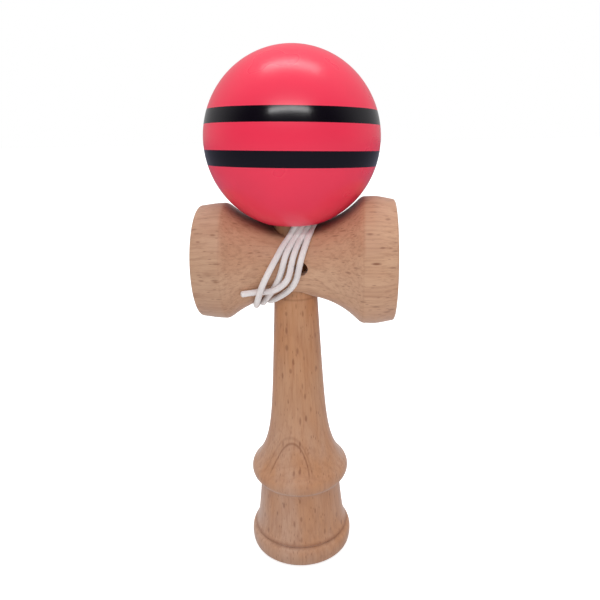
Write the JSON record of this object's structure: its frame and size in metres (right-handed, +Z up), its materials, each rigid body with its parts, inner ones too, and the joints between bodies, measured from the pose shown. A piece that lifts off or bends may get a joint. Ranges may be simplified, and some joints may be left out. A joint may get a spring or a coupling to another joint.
{
  "type": "kendama",
  "caption": "Wooden ball-and-cup skill toy: a turned handle with a spike and a base cup, a cross-piece with a cup at each end, a striped painted ball and a wound white string.",
  "frame": {"origin": "centre of the flat rim that the handle stands on, on the handle's axis", "axes": "+Z up along the handle to the spike and the ball, +X along the cross-piece from the small cup to the big cup, -Y the front, where the string hole is"},
  "size_m": [0.0695, 0.06, 0.1923],
  "materials": {
    "handle_beech": "fine sanded beech with a satin oil finish, grain along the handle",
    "cross_beech": "fine sanded beech with a satin oil finish, grain along the cross-piece",
    "ball_paint": "satin-gloss coral pink paint on wood, with two painted near-black stripes",
    "string_braid": "matte white braided cord"
  },
  "bodies": {
    "handle": {"handle_spike": "handle_beech"},
    "cross_piece": {"cross_cups": "cross_beech", "string_knot": "string_braid", "string_start": "string_braid", "string_wrap": "string_braid", "string_end": "string_braid"},
    "ball": {"ball": "ball_paint"}
  },
  "joints": [
    {"name": "cross_lift", "type": "slide", "parent": "handle", "child": "cross_piece", "axis": [0, 0, 1], "range_m": [0, 0.07]},
    {"name": "ball_lift", "type": "slide", "parent": "cross_piece", "child": "ball", "axis": [0, 0, 1], "range_m": [0, 0.06]}
  ]
}
